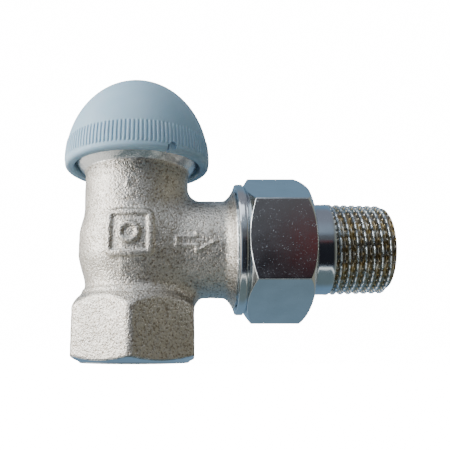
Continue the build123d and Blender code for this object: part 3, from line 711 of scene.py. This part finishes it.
def blasted_nickel():
    """Nickel over a shot-blasted forging, smooth where it was turned afterwards."""
    s = Shader("blasted_nickel")
    turned_share = s.node("Attribute", attribute_name="machined").outputs["Fac"]
    rough_share = s.math("SUBTRACT", 1.0, turned_share)
    grain = s.noise(2.0, 2.5, rough=0.62)
    pits = s.map(s.voronoi(2.1), 0.05, 0.55)
    height = s.math("ADD", grain, s.math("MULTIPLY", pits, 0.35))
    height = s.math("MULTIPLY", height, rough_share)
    patches = s.noise(0.16, 3)
    tint = s.mix(s.map(patches, 0.35, 0.65), colour(0.62, 0.59, 0.54), colour(0.56, 0.54, 0.50))
    tint = s.mix(s.map(grain, 0.36, 0.50, 1, 0), tint, colour(0.33, 0.29, 0.24))
    tint = s.mix(turned_share, tint, colour(0.62, 0.66, 0.69))
    roughness = s.map(s.noise(0.6, 3), 0.3, 0.7, 0.36, 0.46)
    roughness = s.math("SUBTRACT", roughness, s.math("MULTIPLY", turned_share, 0.24))
    s.put(Base_Color=tint, Metallic=1.0, Roughness=roughness, Normal=s.bump(height, 1.0, 0.19))
    return s.material


def bright_nickel(name="bright_nickel", marks=1.0):
    """Bright nickel over turned brass: fine turning lines, specks and short scratches."""
    s = Shader(name)
    lines = s.noise(1.0, 2, where=s.stretched((9, 0.5, 0.5)))
    specks = s.map(s.voronoi(2.4), 0.10, 0.18, 1, 0)
    gate = s.map(s.noise(0.6, 2), 0.40, 0.52)
    scratch_a = s.map(s.voronoi(1.5, s.stretched((0.35, 1, 1), (0.3, 0.9, 0.8))), 0.03, 0.10, 1, 0)
    scratch_b = s.map(s.voronoi(1.3, s.stretched((1, 0.3, 1), (0.9, -0.7, 0.2))), 0.03, 0.10, 1, 0)
    scratches = s.math("MAXIMUM", scratch_a, scratch_b)
    wear = s.math("MULTIPLY", s.math("MAXIMUM", scratches, s.math("MULTIPLY", specks, 0.7)), gate)
    height = s.math("SUBTRACT", s.math("MULTIPLY", lines, 0.15), s.math("MULTIPLY", wear, 0.8 * marks))
    tint = s.mix(s.map(s.noise(0.2, 3), 0.35, 0.65), colour(0.66, 0.69, 0.71), colour(0.60, 0.63, 0.64))
    tint = s.mix(s.math("MULTIPLY", wear, 0.4 * marks), tint, colour(0.80, 0.78, 0.76))
    roughness = s.map(s.noise(0.35, 4), 0.3, 0.7, 0.10, 0.17)
    roughness = s.math("ADD", roughness, s.math("MULTIPLY", wear, 0.15 * marks))
    s.put(Base_Color=tint, Metallic=1.0, Roughness=roughness, Normal=s.bump(height, 0.5, 0.05))
    return s.material


def thread_nickel():
    """Nickel on the pipe threads: bright crests and browner, duller grooves."""
    s = Shader("thread_nickel")
    x, y, z = s.node("SeparateXYZ", {"Vector": s.where}).outputs
    up = s.math("SUBTRACT", z, AXIS_HEIGHT * MM)
    radius = s.math("SQRT", s.math("ADD", s.math("MULTIPLY", y, y), s.math("MULTIPLY", up, up)))
    taper = s.map(x, TAIL_THREAD_START * MM, TAIL_END * MM, 0, (TAIL_END - TAIL_THREAD_START) / 32 * MM)
    below = s.math("SUBTRACT", TAIL_R * MM, s.math("ADD", radius, taper))
    groove = s.math("MULTIPLY", s.map(below, 0.15 * MM, 0.8 * MM), s.map(x, 44.3 * MM, 44.9 * MM))
    grime = s.math("MULTIPLY", groove, s.map(s.noise(0.9, 3), 0.35, 0.6, 0.45, 1.0))
    tint = s.mix(s.map(s.noise(0.2, 3), 0.35, 0.65), colour(0.60, 0.67, 0.73), colour(0.54, 0.60, 0.66))
    tint = s.mix(grime, tint, colour(0.33, 0.25, 0.12))
    roughness = s.math("ADD", s.map(s.noise(0.35, 4), 0.3, 0.7, 0.10, 0.18), s.math("MULTIPLY", grime, 0.2))
    height = s.noise(1.6, 3)
    s.put(Base_Color=tint, Metallic=1.0, Roughness=roughness, Normal=s.bump(height, 0.25, 0.03))
    return s.material


def satin_plastic():
    """Blue-grey moulded plastic with a fine spark-eroded texture and a few scuffs."""
    s = Shader("satin_plastic")
    texture = s.noise(2.2, 3)
    cloud = s.noise(0.09, 3)
    tint = s.mix(s.map(cloud, 0.35, 0.65), colour(0.29, 0.46, 0.60), colour(0.34, 0.50, 0.63))
    scuff = s.map(s.voronoi(0.4, s.stretched((0.4, 1, 1), (0.2, 0.6, 0.4))), 0.02, 0.05, 1, 0)
    scuff = s.math("MULTIPLY", scuff, s.map(s.noise(0.15, 2), 0.55, 0.65))
    tint = s.mix(s.math("MULTIPLY", scuff, 0.35), tint, colour(0.62, 0.70, 0.76))
    roughness = s.map(s.noise(0.5, 3), 0.3, 0.7, 0.42, 0.52)
    s.put(Base_Color=tint, Roughness=roughness, Subsurface_Weight=0.08, Subsurface_Scale=0.002,
          Specular_IOR_Level=0.45, Normal=s.bump(texture, 0.18, 0.04))
    return s.material


def turned_metal(name, light, dark, low_rough, high_rough):
    """Turned inner metal with fine lines round the stem axis."""
    s = Shader(name)
    lines = s.noise(1.2, 3, where=s.stretched((0.4, 0.4, 8)))
    tint = s.mix(s.map(lines, 0.3, 0.7), light, dark)
    roughness = s.map(s.noise(0.5, 3), 0.3, 0.7, low_rough, high_rough)
    s.put(Base_Color=tint, Metallic=1.0, Roughness=roughness, Normal=s.bump(lines, 0.3, 0.03))
    return s.material


def moulded(name, light, dark, low_rough, high_rough, per_mm):
    """Rubber or polymer: slight mottling and a moulded skin."""
    s = Shader(name)
    skin = s.noise(per_mm, 3)
    tint = s.mix(s.map(skin, 0.3, 0.7), light, dark)
    roughness = s.map(s.noise(0.5, 3), 0.3, 0.7, low_rough, high_rough)
    s.put(Base_Color=tint, Roughness=roughness, Normal=s.bump(skin, 0.3, 0.04))
    return s.material


# ---- stage, light and camera ----------------------------------------------------------------------
def make_floor():
    """Pale floor under the valve."""
    points = [(-900, -900, -0.05), (900, -900, -0.05), (900, 900, -0.05), (-900, 900, -0.05)]
    floor = mesh_object("floor", points, [(0, 1, 2, 3)])
    s = Shader("pale_floor")
    tint = s.mix(s.noise(0.01, 2), colour(0.90, 0.90, 0.90), colour(0.93, 0.93, 0.93))
    s.put(Base_Color=tint, Roughness=0.9, Specular_IOR_Level=0.1, Emission_Color=tint, Emission_Strength=17.0)
    floor.data.materials.append(s.material)
    floor.visible_glossy = False
    floor.visible_diffuse = False


def make_world():
    """White to the eye; in reflections, a room: white window left, dark front, blue-grey above."""
    world = bpy.data.worlds.new("studio")
    world.use_nodes = True
    bpy.context.scene.world = world
    s = Shader.__new__(Shader)
    s.nodes = world.node_tree.nodes
    s.links = world.node_tree.links
    s.nodes.clear()
    ray = s.node("TexCoord").outputs["Generated"]
    x, y, z = s.node("SeparateXYZ", {"Vector": ray}).outputs

    def smooth(value, low, high):
        made = s.node("MapRange", {"Value": value, "From Min": low, "From Max": high}, interpolation_type="SMOOTHSTEP")
        return made.outputs["Result"]

    def times(*shares):
        total = shares[0]
        for share in shares[1:]:
            total = s.math("MULTIPLY", total, share)
        return total

    def less(value):
        return s.math("SUBTRACT", 1.0, value)

    forward = s.math("MULTIPLY", y, -1)
    room = s.mix(smooth(z, -0.7, 0.6), colour(0.17, 0.22, 0.23), colour(0.30, 0.31, 0.36))
    room = s.mix(smooth(y, 0.2, 0.6), room, colour(0.22, 0.35, 0.49))
    front = smooth(forward, 0.30, 0.70)
    ahead = s.mix(smooth(z, -0.25, 0.30), colour(0.14, 0.18, 0.24), colour(0.34, 0.39, 0.46))
    room = s.mix(front, room, ahead)
    dark = times(front, smooth(x, 0.0, 0.10), smooth(z, -0.80, -0.70), less(smooth(z, 0.35, 0.60)))
    room = s.mix(dark, room, s.mix(smooth(z, 0.13, 0.25), colour(0.02, 0.02, 0.025), colour(0.13, 0.13, 0.14)))
    red = times(smooth(x, 0.17, 0.22), less(smooth(x, 0.26, 0.36)), smooth(z, 0.11, 0.16), less(smooth(z, 0.20, 0.25)), front)
    room = s.mix(times(red, 0.7), room, colour(0.17, 0.035, 0.035))
    edge = times(smooth(z, -0.86, -0.82), less(smooth(z, -0.80, -0.76)), smooth(forward, 0.1, 0.3))
    room = s.mix(edge, room, colour(1.5, 1.5, 1.4))
    room = s.mix(smooth(x, 0.42, 0.80), room, colour(0.32, 0.31, 0.25))
    room = s.mix(smooth(s.math("MULTIPLY", x, -1), 0.35, 0.75), room, colour(1.70, 1.64, 1.52))
    seen = s.node("LightPath").outputs["Is Camera Ray"]
    shown = s.mix(seen, room, colour(16.0, 16.0, 16.0))
    background = s.node("Background", {"Color": shown, "Strength": 1.0})
    out = s.node("OutputWorld")
    s.links.new(background.outputs["Background"], out.inputs["Surface"])


def area_light(name, place, target, size, power, tint=(1, 1, 1)):
    """Soft rectangular light that points at a target; places in millimetres."""
    data = bpy.data.lights.new(name, "AREA")
    data.shape = "RECTANGLE"
    data.size, data.size_y = size[0] * MM, size[1] * MM
    data.energy = power
    data.color = tint
    light = bpy.data.objects.new(name, data)
    light.location = Vector(place) * MM
    light.rotation_euler = (Vector(target) - Vector(place)).to_track_quat("-Z", "Y").to_euler()
    bpy.context.scene.collection.objects.link(light)


def make_camera():
    data = bpy.data.cameras.new("camera")
    data.sensor_width = 36
    data.lens = 45.23
    data.shift_x = 0.1035
    data.shift_y = 0.0277
    data.clip_start = 0.005
    camera = bpy.data.objects.new("camera", data)
    camera.location = Vector((10.43, -131.35, 3.51)) * MM
    camera.rotation_euler = (radians(90 + 10.97), 0, radians(0.2))
    bpy.context.scene.collection.objects.link(camera)
    bpy.context.scene.camera = camera


# ---- put together ---------------------------------------------------------------------------------
blasted = blasted_nickel()
bright = bright_nickel()
threads = thread_nickel()
plastic = satin_plastic()
brass = turned_metal("turned_brass", colour(0.80, 0.62, 0.32), colour(0.66, 0.47, 0.22), 0.18, 0.30)
steel = turned_metal("ground_steel", colour(0.66, 0.66, 0.67), colour(0.50, 0.50, 0.52), 0.20, 0.32)
rubber = moulded("black_rubber", colour(0.025, 0.025, 0.027), colour(0.045, 0.045, 0.045), 0.45, 0.65, 1.2)
polymer = moulded("white_polymer", colour(0.84, 0.84, 0.82), colour(0.78, 0.78, 0.75), 0.40, 0.55, 0.8)

PIECES = [
    (make_forging(), "body", blasted, "nickel_forging", ["valve_body"]),
    (make_inlet_lining(), "body", bright, "nickel_forging", ["valve_body"]),
    (make_union_thread(), "body", bright, "nickel_forging", ["valve_body"]),
    (make_head_thread(), "body", bright, "nickel_forging", ["valve_body"]),
    (make_cap(), "cap", plastic, "cap_plastic", ["protective_cap"]),
    (make_nut(), "nut", bright, "nickel_turned", ["union_nut"]),
    (make_tail(), "tail", threads, "nickel_turned", ["tailpiece"]),
    (make_lugs(), "tail", bright, "nickel_turned", ["tailpiece"]),
]
for piece, body, material, slot_name, replaced in PIECES:
    piece.data.materials.clear()
    piece.data.materials.append(material)
    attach(piece, body)
    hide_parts(*replaced)

SLOT_MATERIALS = {
    "nickel_forging": blasted, "nickel_turned": bright, "cap_plastic": plastic, "turned_brass": brass,
    "stainless": steel, "seal_rubber": rubber, "white_polymer": polymer}
for subpart in frame["record"]["subparts"]:
    node = frame["nodes"][subpart["node"]]
    for material_slot in node.material_slots:
        material_slot.material = SLOT_MATERIALS[subpart["material_slot"]]

make_floor()
make_world()
area_light("window", (-260, -90, 120), (5, 0, 35), (200, 260), 1.6, (1.0, 0.99, 0.97))
area_light("overhead", (-40, -120, 230), (10, 0, 30), (200, 160), 0.22, (0.86, 0.93, 1.0))
make_camera()
